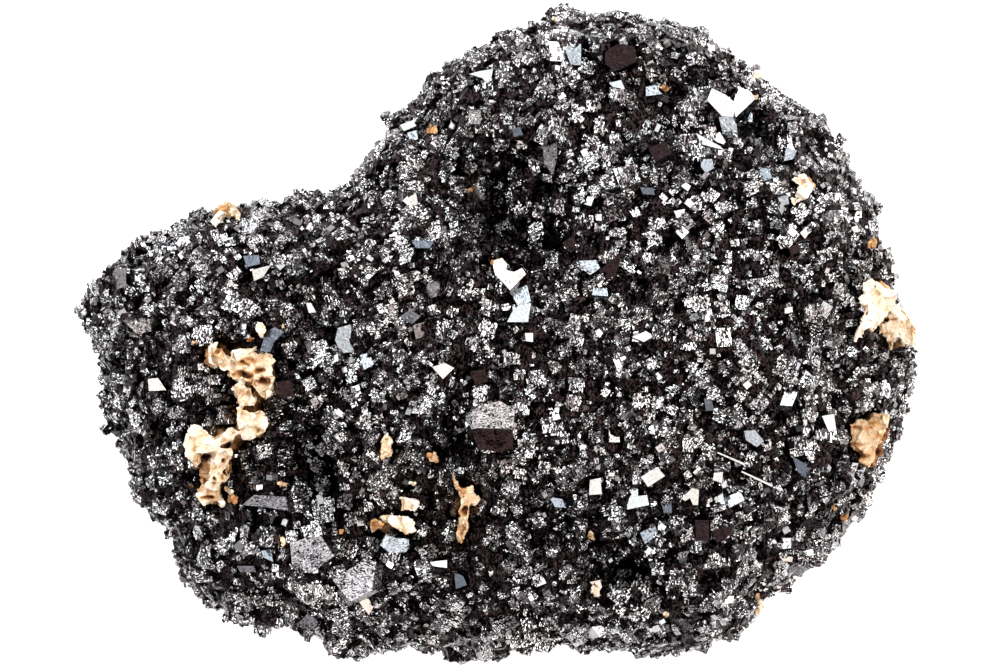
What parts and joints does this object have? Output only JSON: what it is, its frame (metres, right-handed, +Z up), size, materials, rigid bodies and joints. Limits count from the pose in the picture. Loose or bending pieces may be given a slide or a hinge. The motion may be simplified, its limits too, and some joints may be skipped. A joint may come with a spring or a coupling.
{
  "type": "perovskite specimen",
  "caption": "Hand-sized mineral specimen: a mass of intergrown black, nearly cubic perovskite crystals with small pieces of pale matrix in its hollows, lying on its flat broken back.",
  "frame": {"origin": "on the flat broken back that the specimen lies on, under the middle of its box", "axes": "+X along its long side, +Y towards its tall lobe, +Z up out of its best face"},
  "size_m": [0.0594, 0.0466, 0.027],
  "materials": {
    "perovskite_black": "black to dark brown crystal faces with an adamantine to submetallic lustre, some of them bright",
    "pale_matrix": "crumbly cream to tan matrix, rust-stained in its cavities, dull"
  },
  "bodies": {
    "root": {"perovskite_crystal_mass": "perovskite_black", "pale_matrix_left": "pale_matrix", "pale_matrix_right_upper": "pale_matrix", "pale_matrix_right_lower": "pale_matrix", "pale_matrix_lower_strip": "pale_matrix", "pale_matrix_lower_ledge": "pale_matrix", "pale_matrix_oval": "pale_matrix", "pale_matrix_upper_right": "pale_matrix", "pale_matrix_left_rim": "pale_matrix"}
  },
  "joints": []
}
